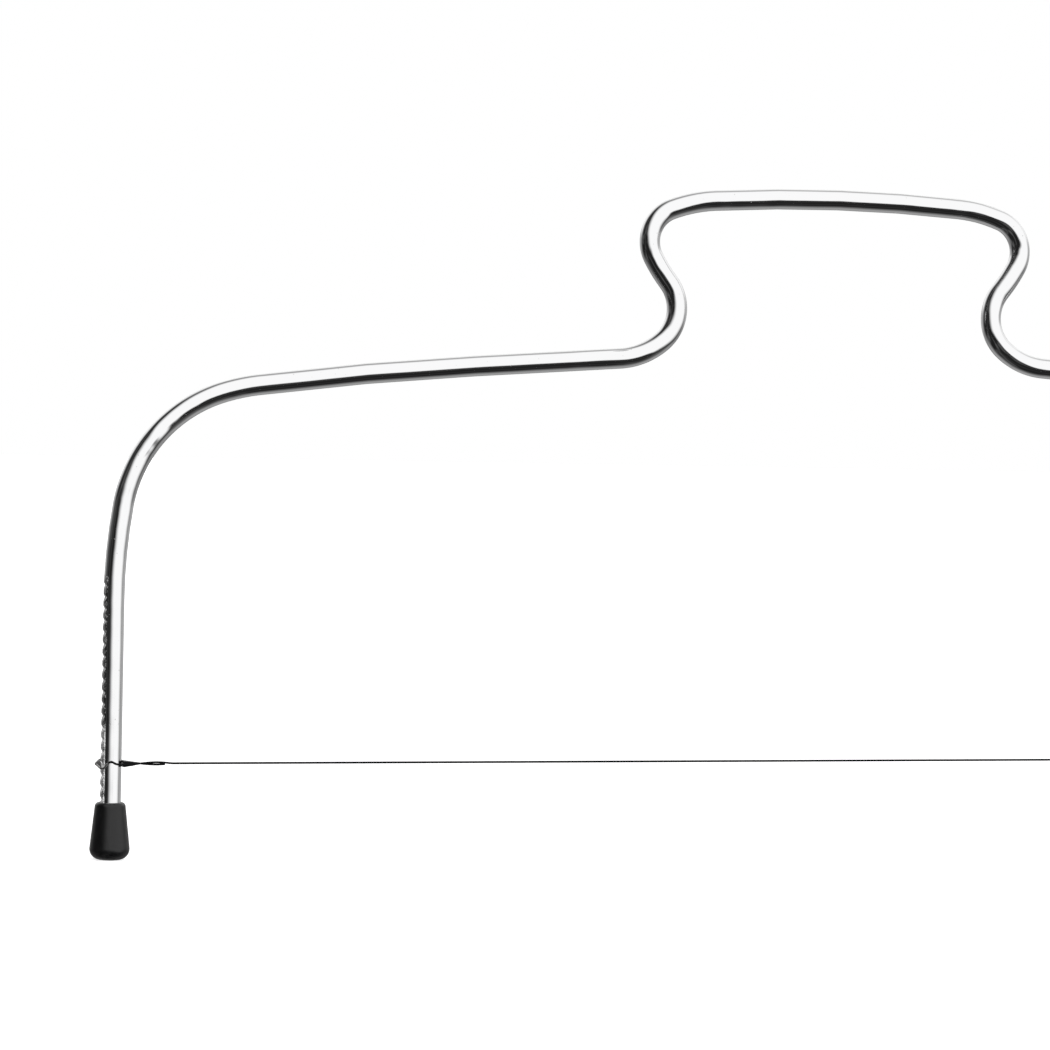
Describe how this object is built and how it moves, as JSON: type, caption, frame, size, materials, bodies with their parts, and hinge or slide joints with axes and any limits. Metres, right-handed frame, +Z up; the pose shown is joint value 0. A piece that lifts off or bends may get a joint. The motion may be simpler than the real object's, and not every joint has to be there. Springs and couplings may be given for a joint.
{
  "type": "cake leveler",
  "caption": "Bow-shaped chrome rod cake leveler with a bent-in hand hold, notched legs on push-on feet, and a cutting wire with twisted end loops that hook into the notches.",
  "frame": {"origin": "on the table, midway between the feet, under the middle of the wire", "axes": "+X along the cutting wire, +Y across the frame away from the user, +Z up to the hand hold"},
  "size_m": [0.3706, 0.0096, 0.1655],
  "materials": {
    "chrome_rod": "bright chrome plate on a drawn steel rod",
    "foot_cap": "black moulded soft plastic with a satin skin",
    "steel_wire": "drawn stainless steel wire"
  },
  "bodies": {
    "frame": {"frame_rod": "chrome_rod", "left_foot": "foot_cap", "right_foot": "foot_cap"},
    "left_wire_end": {"left_wire_loop": "steel_wire"},
    "wire": {"cutting_wire": "steel_wire", "right_wire_loop": "steel_wire"}
  },
  "joints": [
    {"name": "wire_height", "type": "slide", "parent": "frame", "child": "left_wire_end", "axis": [0, 0, 1], "range_m": [-0.00284, 0.03976]},
    {"name": "wire_tilt", "type": "hinge", "parent": "left_wire_end", "child": "wire", "pos_m": [-0.1653, 0, 0.02292], "axis": [0, -1, 0], "range_deg": [-0.471, 0.471]}
  ]
}
